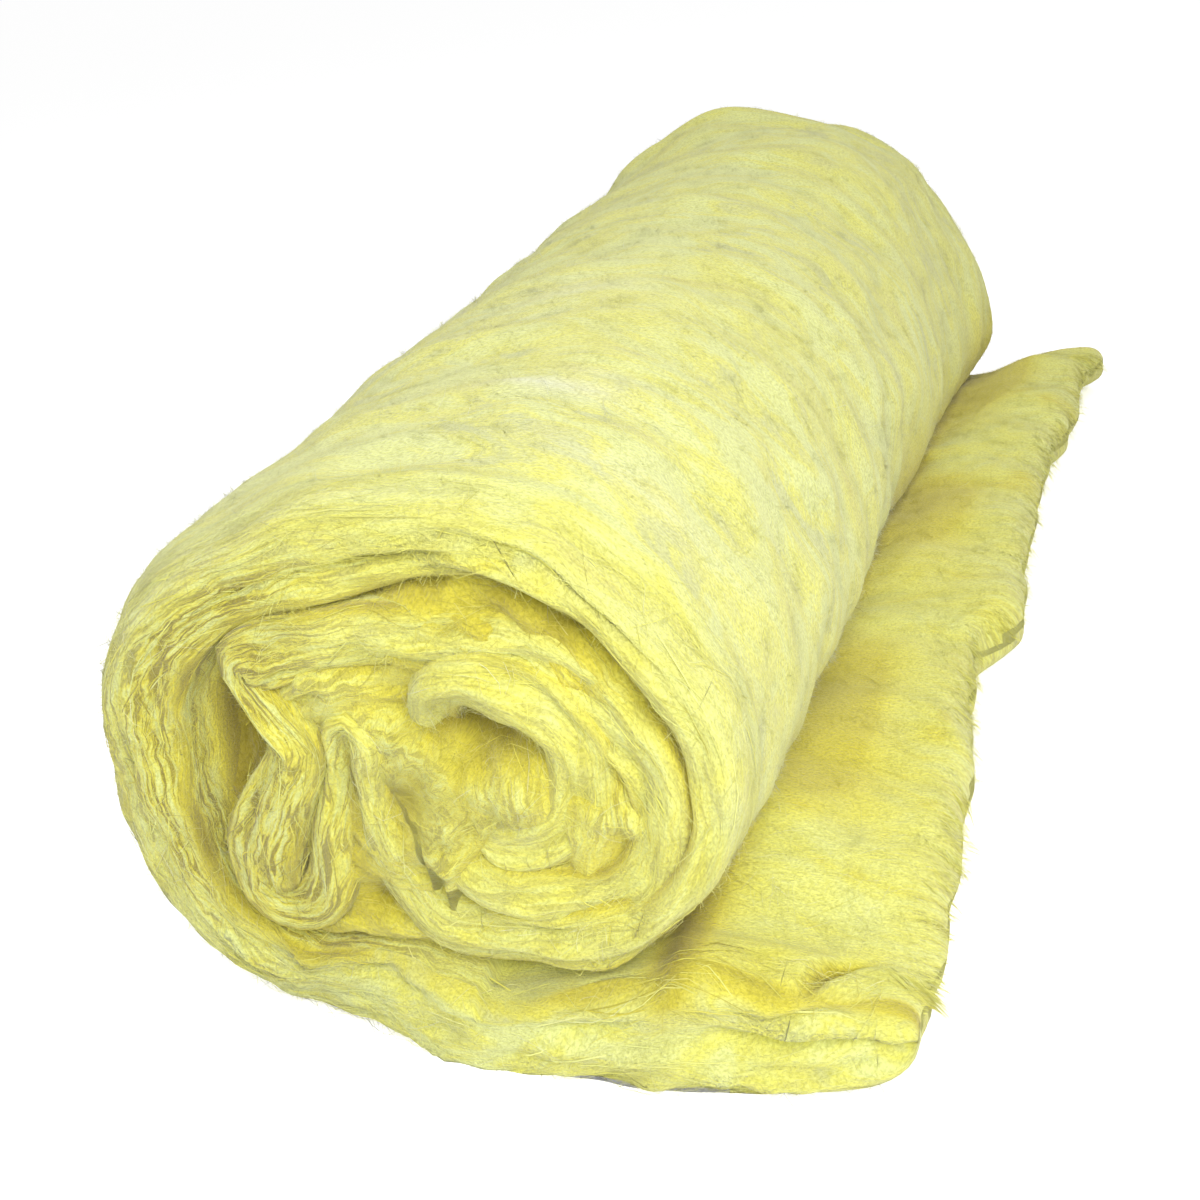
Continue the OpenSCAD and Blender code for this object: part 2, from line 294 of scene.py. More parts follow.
class FibreCounts(bpy.types.PropertyGroup):
    """How many locks, loose fibres and tufts each side of the roll has"""

    near_end: IntVectorProperty(
        name="Near end", description="Locks, fibres and tufts on the near end", default=(1500, 6000, 16500))
    far_end: IntVectorProperty(
        name="Far end", description="Locks, fibres and tufts on the far end", default=(700, 2500, 9000))
    hollows: IntVectorProperty(
        name="Hollows", description="Locks, fibres and tufts in the hollows", default=(500, 2200, 6500))
    near_outside: IntVectorProperty(
        name="Near outside", description="Fibres and tufts on the near half", size=2, default=(4000, 31000))
    far_outside: IntVectorProperty(
        name="Far outside", description="Fibres and tufts on the far half", size=2, default=(3000, 21000))
    loose_end: IntVectorProperty(
        name="Loose end", description="Fibres and tufts on the loose end", size=2, default=(3000, 16000))
    fringe: IntProperty(name="Fringe", description="Strands that stand out from the torn cut", default=5000)


# Plain mathematics

def smooth(t):
    c = np.clip(t, 0.0, 1.0)
    return c * c * (3.0 - 2.0 * c)


def bell(t):
    return np.exp(-np.square(t))


def mix(a, b, t):
    return a + (b - a) * t


def lattice(ix, iy, iz, seed):
    """A repeatable value from -1 to 1 at each whole-number place."""
    h = (ix.astype(np.uint32) * np.uint32(73856093)) ^ (iy.astype(np.uint32) * np.uint32(19349663))
    h ^= (iz.astype(np.uint32) * np.uint32(83492791)) ^ np.uint32(seed * 2654435761 % 4294967296)
    h = (h ^ (h >> np.uint32(13))) * np.uint32(1274126177)
    h = (h ^ (h >> np.uint32(16))) * np.uint32(2246822519)
    h ^= h >> np.uint32(13)
    return h.astype(np.float64) / 2147483648.0 - 1.0


def noise(x, y, z, seed):
    """Smooth noise from about -1 to 1, one cycle for each unit."""
    x, y, z = np.broadcast_arrays(x, y, z)
    fx, fy, fz = np.floor(x), np.floor(y), np.floor(z)
    tx, ty, tz = smooth(x - fx), smooth(y - fy), smooth(z - fz)
    ix, iy, iz = fx.astype(np.int64), fy.astype(np.int64), fz.astype(np.int64)
    total = 0.0
    for dx in (0, 1):
        for dy in (0, 1):
            for dz in (0, 1):
                weight = np.abs(1 - dx - tx) * np.abs(1 - dy - ty) * np.abs(1 - dz - tz)
                total = total + weight * lattice(ix + dx, iy + dy, iz + dz, seed)
    return total


def smooth_line(points, steps):
    """A smooth line through points of any number of values, with some steps between each two."""
    points = np.asarray(points, float)
    ends = np.vstack([2 * points[0] - points[1], points, 2 * points[-1] - points[-2]])
    a, b, c, d = (ends[k:len(ends) - 3 + k, None, :] for k in range(4))
    t = np.linspace(0, 1, steps, endpoint=False)[None, :, None]
    curve = 2 * b + (c - a) * t + (2 * a - 5 * b + 4 * c - d) * t ** 2 + (3 * b - a - 3 * c + d) * t ** 3
    return np.vstack([curve.reshape(-1, points.shape[1]) / 2, points[-1:]])


def softened(values, window):
    """Each column of values, averaged along a window of rows."""
    kernel = np.hanning(window + 2)[1:-1]
    kernel /= kernel.sum()
    padded = np.pad(values, ((window // 2, window - 1 - window // 2), (0, 0)), mode="edge")
    return np.stack([np.convolve(padded[:, k], kernel, mode="valid") for k in range(values.shape[1])], -1)


# Winding of the blanket

class Winding:
    """Section of the wound blanket: its outside is worked out from its sizes as the solid's own is."""

    def __init__(self, sizes):
        self.sizes = sizes
        self.floor_press = sizes.blanket_thickness / 18
        self.left_r = sizes.roll_width / 2 + sizes.heart_x
        self.right_r = sizes.roll_width / 2 - sizes.heart_x
        self.top_r = sizes.roll_height - sizes.heart_z
        self.floor_r = sizes.heart_z + self.floor_press
        self.over_tail_r = self.floor_r - sizes.blanket_thickness - sizes.turn_gap
        swollen = 1 - sizes.nip_swell / self.over_tail_r
        self.nip_x = sizes.heart_x + self.right_r * math.sqrt(1 - swollen * swollen)
        self.nip_z = self.under_roll(self.nip_x)

    def oval(self, angle, across, up, full):
        side = np.abs(np.sin(angle)) / across
        rise = np.abs(np.cos(angle)) / up
        return np.power(np.power(side, full) + np.power(rise, full), -1 / full)

    def outline(self, degrees):
        angle = np.radians(degrees)
        on_floor = np.minimum(
            self.oval(angle, self.left_r, self.sizes.heart_z + self.sizes.sag, FULL_ON_FLOOR),
            self.floor_r / np.maximum(np.cos(angle), 0.1))
        above = self.oval(angle, self.left_r, self.top_r, FULL_ABOVE)
        right = self.oval(angle, self.right_r, self.top_r, FULL_ELLIPSE)
        over_tail = self.oval(angle, self.right_r, self.over_tail_r, FULL_ELLIPSE)
        return np.select([degrees < 90, degrees < 180, degrees < 270], [on_floor, above, right], over_tail)

    def wool_t(self, degrees):
        """Thickness of the outer turn: thick on the left, the top and the floor, squeezed on the right."""
        shape = 1 - self.sizes.squeeze * degrees / 360
        shape = shape + THICKER * bell((degrees - THICK_ANGLE) / THICK_SPREAD)
        shape = shape + FLOOR_THICKER * bell((degrees - FLOOR_ANGLE) / FLOOR_SPREAD)
        shape = shape + TOP_THICKER * bell((degrees - TOP_ANGLE) / TOP_SPREAD)
        return self.sizes.blanket_thickness * (shape - THINNER * bell((degrees - THIN_ANGLE) / THIN_SPREAD))

    def polar(self, r, degrees):
        angle = np.radians(degrees)
        across, down = r * np.sin(angle), r * np.cos(angle)
        return np.stack([self.sizes.heart_x - across, self.sizes.heart_z - down], -1)

    def under_roll(self, x):
        rise = np.sqrt(1 - np.square((x - self.sizes.heart_x) / self.right_r))
        return self.sizes.heart_z - self.sizes.turn_gap - self.over_tail_r * rise

    def past_nip(self, x):
        return np.maximum(x - self.nip_x, 0) / (self.sizes.tail_reach - self.nip_x)

    def tail_top(self, x):
        lean = self.under_roll(np.minimum(x, self.nip_x))
        return mix(lean, self.sizes.blanket_thickness, smooth(self.past_nip(x)))

    def dense(self):
        """Middle, outward direction, thickness, set-back, turns and distance, from the cut to the heart."""
        x = np.linspace(self.sizes.tail_reach, self.sizes.heart_x, TAIL_STEPS, endpoint=False)
        degrees = np.linspace(0, 360 * FOLDS_FROM, TURN_STEPS)
        outside = np.concatenate([np.stack([x, np.full_like(x, -self.floor_press)], -1),
                                  self.polar(self.outline(degrees), degrees)])
        inside = np.concatenate([np.stack([x, self.tail_top(x)], -1),
                                 self.polar(self.outline(degrees) - self.wool_t(degrees), degrees)])
        middle, thick = (outside + inside) / 2, np.linalg.norm(outside - inside, axis=1)
        outward = (outside - inside) / thick[:, None]
        turn = np.concatenate([np.zeros_like(x), degrees / 360])
        # The folds go on from the last places of the outer turn
        lead = [(*middle[k], thick[k], 0.0) for k in (-LEAD_STEPS, -1)]
        line = smooth_line(np.concatenate([lead, np.array(FOLD_LINE) * MM]), FOLD_STEPS)[FOLD_STEPS:]
        run = np.gradient(line[:, :2], axis=0)
        run /= np.linalg.norm(run, axis=1, keepdims=True)
        middle = np.concatenate([middle, line[1:, :2]])
        thick = np.concatenate([thick, line[1:, 2]])
        back = np.concatenate([np.zeros_like(turn), line[1:, 3]])
        outward = np.concatenate([outward, np.stack([-run[1:, 1], run[1:, 0]], -1)])
        outward = softened(outward, SOFTEN_STEPS)
        outward /= np.linalg.norm(outward, axis=1, keepdims=True)
        turn = np.concatenate([turn, FOLDS_FROM + np.linspace(0, 2, len(line))[1:]])
        steps = np.linalg.norm(np.diff(middle, axis=0), axis=1)
        distance = np.concatenate([[0.0], np.cumsum(steps)])
        # The inner coil is uneven
        inner = smooth((turn - FOLDS_FROM) / 0.15)
        wobble = sum(far * noise(distance / long, 0.3, 0.7, seed) for far, long, seed in WOBBLE_LAYERS)
        middle = middle + outward * (inner * wobble)[:, None]
        thick = thick * (1 + inner * UNEVEN * noise(distance / UNEVEN_LENGTH, 0.6, 0.2, 18))
        return middle, outward, thick, back, turn, distance

    def far_shift(self, x, z):
        """Sideways shift at the far end: wider, top leaning back and foot slid out, as in the solid."""
        sizes = self.sizes
        up = z / sizes.roll_height
        lean = smooth((up - LEAN_FROM) / LEAN_OVER)
        foot = 1 - smooth((up - SLIDE_FROM) / SLIDE_OVER)
        slide = smooth((x - sizes.heart_x) / (sizes.roll_width / 4)) * foot
        widen = sizes.far_widen * (x / sizes.roll_width + 0.5)
        return widen - sizes.far_lean * lean + sizes.far_slide * slide

    def far_drop(self, x, z):
        """Drop at the far end: the roll settles, and presses on the wool in the nip, as in the solid."""
        sizes = self.sizes
        above = self.nip_z * (1 - smooth((z - self.nip_z) / (PRESS_FADE * self.nip_z)))
        follow = np.where(z < self.nip_z, z, above)
        press = sizes.far_press * bell((x - self.nip_x) / (sizes.roll_width / 6)) * follow
        return sizes.far_settle * z / sizes.roll_height + press


# The blanket as a grid of points

def station_places(length, tail, lip):
    """Distances along the strip, closer together in the loose end and in the rounded lip at each end."""
    curve = 1 - np.cos(np.linspace(0, math.pi / 2, LIP_STATIONS, endpoint=False))
    loose = np.linspace(lip, tail, TAIL_STATIONS, endpoint=False)
    run = np.linspace(tail, length - lip, STATIONS - TAIL_STATIONS - 2 * LIP_STATIONS)
    return np.concatenate([lip * curve, loose, run, length - lip * curve[::-1]])


def across_places(width):
    """Places across a face, closer together in the rims beside the cut edges."""
    rim = np.linspace(-width / 2, -width / 2 + RIM_WIDTH, RIM_ACROSS, endpoint=False)
    middle = np.linspace(-width / 2 + RIM_WIDTH, width / 2 - RIM_WIDTH, ACROSS - 2 * RIM_ACROSS)
    return np.concatenate([rim, middle, -rim[::-1]])


def outward_normals(points, ring_axis):
    """Outward direction at each point of a grid that is closed round one axis."""
    round_ring = (np.roll(points, -1, axis=ring_axis) - np.roll(points, 1, axis=ring_axis)) / 2
    along = np.gradient(points, axis=1 - ring_axis)
    out = np.cross(along, round_ring)
    return out / np.maximum(np.linalg.norm(out, axis=2, keepdims=True), 1e-12)


class BlanketGrid:
    """The blanket's surface: stations along it, and at each a ring of points round its section."""

    def __init__(self, sizes):
        self.sizes = sizes
        self.winding = Winding(sizes)
        middle, outward, thick, back, turn, distance = self.winding.dense()
        self.length = distance[-1]
        self.tail_length = np.interp(1e-9, turn, distance)
        self.s = station_places(self.length, self.tail_length, sizes.end_round)
        self.turn, self.thick, self.back = (np.interp(self.s, distance, v) for v in (turn, thick, back))
        self.middle = np.stack([np.interp(self.s, distance, middle[:, k]) for k in (0, 1)], -1)
        self.outward = np.stack([np.interp(self.s, distance, outward[:, k]) for k in (0, 1)], -1)
        self.make_ring()
        self.make_points()
        self.normal = outward_normals(self.points, 1)

    def make_ring(self):
        """Place across and depth of each ring point: outside face, far edge, inside face, near edge."""
        width = self.sizes.blanket_width
        face = across_places(width)
        depth = np.cos(np.linspace(0, math.pi, THROUGH + 2)[1:-1])
        ones = np.ones_like(face)
        edge = np.full_like(depth, width / 2)
        self.w = np.concatenate([face, edge, face[::-1], -edge])
        self.n = np.concatenate([ones, depth, -ones, -depth])
        self.on_edge = np.concatenate([0 * ones, depth * 0 + 1, 0 * ones, depth * 0 + 1])
        self.ring = len(self.w)

    def make_points(self):
        s, turn, n = self.s[:, None], self.turn[:, None], self.n[None, :]
        self.to_edge = self.sizes.blanket_width / 2 - np.abs(self.w[None, :])
        self.rim = smooth(1 - self.to_edge / RIM_WIDTH)
        self.outer = smooth((turn - 0.02) / 0.06) * smooth((FOLDS_FROM + 0.04 - turn) / 0.06)
        self.tail = turn <= 0
        self.loose = smooth((self.tail_length - s) / 0.12)
        self.resting = (1 - smooth((turn - 0.04) / 0.1)) * (n > 0)
        self.shows = np.maximum(self.outer * np.clip(n, 0, 1), self.tail * np.clip(-n, 0, 1))
        # Each cut end closes to a rounded lip
        share = np.clip(np.minimum(s, self.length - s) / self.sizes.end_round, 0, 1)
        self.lip = np.sqrt(np.maximum(1 - np.square(1 - share), 0))
        self.depth_m = n * self.thick[:, None] / 2
        offset = self.face_offset()
        x = self.middle[:, :1] + offset * self.outward[:, :1]
        z = self.middle[:, 1:] + offset * self.outward[:, 1:]
        y = self.w[None, :] + self.slipped(s) + np.sign(self.w[None, :]) * self.edge_push() + 0 * x
        self.points = self.loosened(x, y, z)
        self.colour_fields(x, z)
        self.measure_skin()

    def face_offset(self):
        """How far each point stands off the middle of the blanket."""
        sizes, outer = self.sizes, self.outer
        s, turn, thick = self.s[:, None], self.turn[:, None], self.thick[:, None]
        w, n = self.w[None, :], self.n[None, :]
        # The faces roll over towards the cut edges, most on the outside of the outer turn
        dip = np.where(n > 0, mix(DIP, OUTER_DIP, outer), DIP)
        dip = dip * (1 - (1 - RESTING_DIP) * self.resting) * self.rim * self.rim
        # Between turns the wool swells a little way in, so the hollows close behind the ends
        heart = smooth((turn - 2.1) / 0.3) * (n < 0)
        swell = mix(mix(FOLD_SWELL, TURN_SWELL, turn < FOLDS_FROM), HEART_SWELL, heart)
        at_rim = mix(TURN_RIM_SWELL, FOLD_RIM_SWELL, turn > FOLDS_FROM)
        swell = swell * mix(at_rim, 1, smooth((self.to_edge - 4 * MM) / 0.06))
        swell = swell * smooth((turn - 0.1) / 0.1) * (1 - self.shows)
        offset = n * self.lip * (thick / 2 * (1 - dip) + swell)
        # Soft lumps on what shows: the outside of the outer turn and the top of the loose end
        lumps = 0
        for much, long, wide, place, seed in LUMP_LAYERS:
            lumps = lumps + much * noise(s / long, w / wide, place, seed)
        raised = sizes.lump * lumps + sizes.plump * outer
        for round_way, place, spread, wide, height in LUMPS:
            raised = raised + height * bell((turn - round_way) / spread) * bell((w - place) / wide)
        slant = (s - SLIT_FROM_CUT + SLIT_SLANT * (w - SLIT_ALONG)) / SLIT_WIDE
        slit = bell(slant) * bell((w - SLIT_ALONG) / SLIT_LONG)
        self.slit = slit * (n < 0) * self.tail * (1 - self.on_edge)
        raised = raised - SLIT_DEEP * self.slit
        return offset + raised * self.shows * np.where(n < 0, -1, 1) * self.lip

    def rounded(self, rim_round):
        """How far the faces' rims are set back from the middle of the cut edge."""
        edge_round, n = self.sizes.edge_round, self.n[None, :]
        deep = mix(edge_round, rim_round, self.outer * (n > 0))
        deep = mix(deep, RESTING_ROUND * edge_round, self.resting)
        deep = mix(deep, LOOSE_ROUND * edge_round, self.loose * (n < 0))
        return mix(edge_round, deep, self.lip)

    def edge_push(self):
        """How far each point stands out of the roll's end: the ragged edge, its bulge and its torn layers."""
        sizes = self.sizes
        s, w, n = self.s[:, None], self.w[None, :], self.n[None, :]
        end = np.sign(w) * 3 + 5
        ragged = sum(far * noise(s / long, 0.5, end, seed) for far, long, seed in RAGGED_LAYERS)
        wavy = self.depth_m + WAVER * noise(s / WAVER_LENGTH, 0.5, end, 26)
        layers = sum(much * noise(s / long, wavy / deep, end, seed) for much, long, deep, seed in TORN_LAYERS)
        self.rounding = self.rounded(sizes.rim_round * mix(1, FAR_ROUND, w > 0))
        self.upright = np.sqrt(np.maximum(1 - np.square(n * BULGE_REACH), 0))
        bulge = self.rounding * (self.upright * self.on_edge - 1)
        corner = CORNER_BACK * np.exp(-s / CORNER_BACK / 4) * (w < 0)
        push = (ragged + bulge - corner - self.back[:, None]) * self.rim
        push = push + sizes.relief * mix(1, LOOSE_RELIEF, self.loose) * layers * self.on_edge * self.lip
        for place, through, half_length, half_width, depth in SPLITS:
            across = n - through - 0.2 * noise(s / 0.05, through, 0.5, 25)
            split = bell((s - place) / half_length) * bell(across / half_width)
            push = push - depth * split * self.lip * self.on_edge * (w < 0)
        return push

    def loosened(self, x, y, z):
        """The points with the loose end's corners lifted, its cut ragged and the roll's far end loosened."""
        sizes, winding = self.sizes, self.winding
        s, w, n = self.s[:, None], self.w[None, :], self.n[None, :]
        along = np.clip(w / sizes.blanket_width + 0.5, 0, 1)
        out = np.where(self.tail, np.square(winding.past_nip(x)), 0)
        lift = sizes.near_lift * np.power(1 - along, NEAR_SHARP)
        lift = lift + sizes.far_lift * np.power(along, FAR_SHARP)
        places, cuts = np.array(CUT_LINE).T * MM
        tear = np.interp(w, places, cuts)
        for far, wide, seed in CUT_LAYERS:
            tear = tear + far * noise(w / wide, n * self.lip, 0.6, seed)
        tear = tear * np.exp(-s / CUT_BACK) * self.tail
        shift = winding.far_shift(x, z) * along * along
        drop = winding.far_drop(x, z) * along
        return np.stack([x + shift + tear, y, np.maximum(z - drop + out * lift, 0)], -1)

    def colour_fields(self, x, z):
        """Where the wool takes painted shade, is torn, bleached by the air or a pale wisp, for its colour."""
        outer, shows, on_edge = self.outer, self.shows, self.on_edge
        s, turn = self.s[:, None], self.turn[:, None]
        w, n = self.w[None, :], self.n[None, :]
        # Painted shade between turns, at the border of a cut edge, in the nip beside the loose end and in the
        # slit in its top
        between = (1 - shows) * (turn > 0.05) * smooth((self.to_edge - SHADE_FROM) / SHADE_OVER) * (1 - on_edge)
        border = smooth((np.abs(n) - 0.6) / 0.4) * on_edge * (1 - self.resting) * (1 - outer * (n > 0))
        border = border * (0.55 + 0.5 * noise(s / 0.05, n / 0.5, np.sign(w), 36))
        past = x - self.winding.nip_x
        nip = 0.9 * bell((past - NIP_PAST) / NIP_SPREAD) * (0.7 + noise(s / 0.09, w / 0.12, 0.2, 35))
        nip = np.maximum(np.minimum(nip, NIP_LIMIT), bell(past / NIP_LINE))
        nip = nip * bell((z - NIP_UP) / NIP_UP_SPREAD) * shows
        painted_shade = np.clip(np.maximum(np.maximum(between, border), np.maximum(nip, self.slit)), 0, 1)
        # Torn and cut wool is streaked, most on the left, which also paints the left of the ends darker, as
        # painted shade
        torn = np.maximum(self.rim * mix(1, 0.5, shows), np.exp(-s / 0.03))
        torn = torn * mix(1, STREAKS_LEFT, smooth((x - STREAKED_TO) / STREAKED_OVER))
        floor_layer = FLOOR_LAYER_PATCHES * (1 - smooth((turn - FLOOR_LAYER_TO) / FLOOR_LAYER_OVER))
        bleached = outer * (n > 0) * (1 - 0.6 * self.rim) + floor_layer * on_edge + 0 * x
        wisp = 0 * painted_shade
        for round_way, place, spread, wide, pale in WISPS:
            patch = bell((turn - round_way) / spread) * bell((w - place) / wide) * outer * (n > 0)
            wisp = np.maximum(wisp, pale * patch * (0.7 + 0.5 * noise(s / 0.05, w / 0.008, 0.4, 37)))
        self.fields = {"painted_shade": painted_shade, "torn": torn, "bleached": bleached, "wisp": np.clip(wisp, 0, 1)}

    def measure_skin(self):
        """Place on the skin, measured along the strip and round it from the middle of its near edge."""
        width, on_edge = self.sizes.blanket_width, self.on_edge > 0
        w, half = self.w[None, :], self.thick[:, None] / 2
        turned = self.rounding * (1 - self.upright)
        face_start = half + self.rounded(self.sizes.rim_round)
        over_edge = np.where(on_edge, np.abs(self.depth_m) + turned, face_start)
        beyond = np.where(on_edge, half + self.rounding - over_edge, 0)
        girth = np.where(on_edge & (w > 0), face_start + width + beyond, over_edge)
        girth = np.where(self.n[None, :] < 0, -1, 1) * (girth + (w + width / 2) * (1 - self.on_edge))
        self.flat = np.stack(np.broadcast_arrays(self.s[:, None], girth, 0.0), -1)

    def slipped(self, s):
        """Sideways slip of the strip, as in the solid."""
        sizes = self.sizes
        d = s - self.tail_length - sizes.heart_x
        wave = np.sin(2 * math.pi * d / (1.43 * sizes.roll_width) + math.radians(70))
        wander = sizes.edge_wander * wave * smooth(d / (0.6 * sizes.roll_width))
        place = (d + 0.26 * sizes.roll_width) / (0.36 * sizes.roll_width)
        return wander - sizes.slip * bell(place)


class FillingGrid:
    """Loose wool behind the hollows of the inner coil: rings round the heart, from end to end."""

    def __init__(self, sizes):
        winding = Winding(sizes)
        degrees = np.linspace(0, 360, FILLING_ROUND, endpoint=False)[:, None]
        out = np.linspace(0, 1, FILLING_OUT)
        share = np.concatenate([out, out[::-1]])[None, :]
        side = np.concatenate([-np.ones(FILLING_OUT), np.ones(FILLING_OUT)])[None, :]
        rim = winding.polar(winding.outline(degrees) - 0.85 * winding.wool_t(degrees), degrees)
        spoke = rim - np.array(FILLING_MIDDLE) * MM
        x, z = (FILLING_MIDDLE[k] * MM + spoke[..., k] * share for k in (0, 1))
        r = np.linalg.norm(spoke, axis=2) * share
        round_way = np.radians(degrees) * 0.12
        self.flat = np.stack(np.broadcast_arrays(round_way, r + 3 * side, 0.0), -1)
        lumps = sum(high * noise(x / wide, z / wide, side * 3, seed) for high, wide, seed in FILLING_LUMPS)
        streak = noise(np.sin(np.radians(degrees)) * 2.5, r / STREAK_WIDTH, side * 3, 63)
        streak = STREAK * streak * smooth(r / 0.06)
        hollow = 0
        for across, up, half_width, half_height, depth in np.array(HOLLOWS) * MM:
            hollow = hollow + depth * bell(np.hypot((x - across) / half_width, (z - up) / half_height))
        deep = sizes.hollow_depth + hollow + RIM_BACK * smooth((share - 0.88) / 0.1)
        y = side * (sizes.blanket_width / 2 - deep + (lumps + streak) * (share < 0.98))
        along = y / sizes.blanket_width + 0.5
        shift = winding.far_shift(x, z) * along * along
        self.points = np.stack([x + shift, y, np.maximum(z - winding.far_drop(x, z) * along, 0)], -1)
        # Painted shade on the loose wool: more in the deeper hollows, less on lumps that stand forward
        painted_shade = np.clip(FILLING_SHADE + hollow / DEEP_HOLLOW - lumps / PALE_LUMP, 0, 0.95) + 0 * x
        plain = np.zeros_like(x)
        self.fields = {"painted_shade": painted_shade, "torn": plain + FILLING_TORN, "bleached": plain, "wisp": plain}
        self.normal = -outward_normals(self.points, 0)


# Materials

def new_material(name):
    material = bpy.data.materials.new(name)
    material.use_nodes = True
    return material, material.node_tree.nodes, material.node_tree.links


def attribute(nodes, name, output):
    node = nodes.new("ShaderNodeAttribute")
    node.attribute_type = "GEOMETRY"
    node.attribute_name = name
    return node.outputs[output]


def streaks(nodes, links, vector, scale, detail, wander, label):
    """Noise drawn out along the strip: scale is cycles for each metre along, across and through it."""
    mapping = nodes.new("ShaderNodeMapping")
    mapping.inputs["Scale"].default_value = scale
    mapping.label = label
    links.new(vector, mapping.inputs["Vector"])
    texture = nodes.new("ShaderNodeTexNoise")
    texture.inputs["Scale"].default_value = 1.0
    texture.inputs["Detail"].default_value = detail
    texture.inputs["Roughness"].default_value = 0.6
    texture.inputs["Distortion"].default_value = wander
    links.new(mapping.outputs["Vector"], texture.inputs["Vector"])
    return texture.outputs["Fac"]


def wavering(nodes, links, vector, scale, reach):
    """A place on the skin, moved to and fro across the strip so that streaks waver."""
    texture = nodes.new("ShaderNodeTexNoise")
    texture.inputs["Scale"].default_value = scale
    texture.inputs["Detail"].default_value = 2
    links.new(vector, texture.inputs["Vector"])
    node = nodes.new("ShaderNodeVectorMath")
    node.operation = "MULTIPLY_ADD"
    links.new(texture.outputs["Color"], node.inputs[0])
    node.inputs[1].default_value = (0, reach, 0)
    links.new(vector, node.inputs[2])
    return node.outputs["Vector"]


def ramp(nodes, links, value, stops):
    node = nodes.new("ShaderNodeValToRGB")
    elements = node.color_ramp.elements
    while len(elements) < len(stops):
        elements.new(0.5)
    for element, (place, colour) in zip(elements, stops):
        element.position = place
        element.color = (*colour, 1.0)
    links.new(value, node.inputs["Fac"])
    return node.outputs["Color"]


def mixed(nodes, links, share, a, b, blend="MIX"):
    node = nodes.new("ShaderNodeMix")
    node.data_type = "RGBA"
    node.blend_type = blend
    for socket, value in ((node.inputs[0], share), (node.inputs[6], a), (node.inputs[7], b)):
        if isinstance(value, bpy.types.NodeSocket):
            links.new(value, socket)
        elif isinstance(value, (int, float)):
            socket.default_value = value
        else:
            socket.default_value = (*value, 1.0)
    return node.outputs[2]


def maths(nodes, links, operation, *values):
    node = nodes.new("ShaderNodeMath")
    node.operation = operation
    for socket, value in zip(node.inputs, values):
        if isinstance(value, bpy.types.NodeSocket):
            links.new(value, socket)
        else:
            socket.default_value = value
    return node.outputs[0]


def wool_material(colours):
    """Matted wool: streaks along the strip, bleached patches, and painted shade in creases, golden and then
    deep yellow.
    """
    material, nodes, links = new_material("matted_wool")
    shader = nodes["Principled BSDF"]
    flat = attribute(nodes, "flat", "Vector")
    fields = ("painted_shade", "torn", "bleached", "wisp")
    painted_shade, torn, bleached, wisp = (attribute(nodes, name, "Fac") for name in fields)
    broad = streaks(nodes, links, flat, scale=(11, 19, 1), detail=5, wander=1.6, label="broad streaks")
    waver = wavering(nodes, links, flat, scale=38, reach=14 * MM)
    locks = streaks(nodes, links, waver, scale=(26, 230, 1), detail=4, wander=0.8, label="locks")
    fine = streaks(nodes, links, flat, scale=(420, 560, 1), detail=4, wander=0.4, label="grain")
    patches = streaks(nodes, links, flat, scale=(6, 8, 1), detail=3, wander=0.8, label="patches")
    lemon, pale, golden = tuple(colours.lemon), tuple(colours.pale), tuple(colours.golden)
    ash, deep, white = tuple(colours.ash), tuple(colours.deep), tuple(colours.white)
    warm = ramp(nodes, links, broad, [(0.24, golden), (0.42, lemon), (0.75, pale)])
    cool = ramp(nodes, links, broad, [(0.36, ash), (0.46, lemon), (0.56, pale)])
    # Streaks in the wool's colour; their deep and golden lines also stand in for the shade between the locks,
    # as painted shade
    sharp = ramp(nodes, links, locks, [(0.43, deep), (0.48, golden), (0.54, lemon), (0.61, pale)])
    colour = mixed(nodes, links, maths(nodes, links, "MULTIPLY_ADD", torn, 0.85, 0.03), warm, sharp)
    patch = ramp(nodes, links, patches, [(0.36, (0.3, 0.3, 0.3)), (0.6, (0.9, 0.9, 0.9))])
    colour = mixed(nodes, links, maths(nodes, links, "MULTIPLY", patch, bleached), colour, cool)
    # Painted shade: golden, then deep, between turns, at the borders of cut edges, in the nip and in the
    # hollows
    gold_share = ramp(nodes, links, painted_shade, [(0.0, (0, 0, 0)), (0.5, (0.85, 0.85, 0.85))])
    colour = mixed(nodes, links, gold_share, colour, golden)
    deep_share = ramp(nodes, links, painted_shade, [(0.4, (0, 0, 0)), (1.0, (0.85, 0.85, 0.85))])
    colour = mixed(nodes, links, deep_share, colour, deep)
    colour = mixed(nodes, links, wisp, colour, white)
    grain = ramp(nodes, links, fine, [(0.36, (0.7, 0.69, 0.52)), (0.58, (1, 1, 1))])
    links.new(mixed(nodes, links, 0.8, colour, grain, "MULTIPLY"), shader.inputs["Base Color"])
    shader.inputs["Roughness"].default_value = 0.95
    shader.inputs["Specular IOR Level"].default_value = 0.1
    shader.inputs["Sheen Weight"].default_value = 0.35
    shader.inputs["Sheen Roughness"].default_value = 0.5
    height = maths(nodes, links, "MULTIPLY_ADD", fine, 0.45, maths(nodes, links, "MULTIPLY", locks, torn))
    bump = nodes.new("ShaderNodeBump")
    bump.inputs["Strength"].default_value = 0.9
    bump.inputs["Distance"].default_value = 4 * MM
    links.new(height, bump.inputs["Height"])
    links.new(bump.outputs["Normal"], shader.inputs["Normal"])
    return material


# Making pieces

def deselect_all():
    if bpy.context.object and bpy.context.object.mode != "OBJECT":
        bpy.ops.object.mode_set(mode="OBJECT")
    bpy.ops.object.select_all(action="DESELECT")


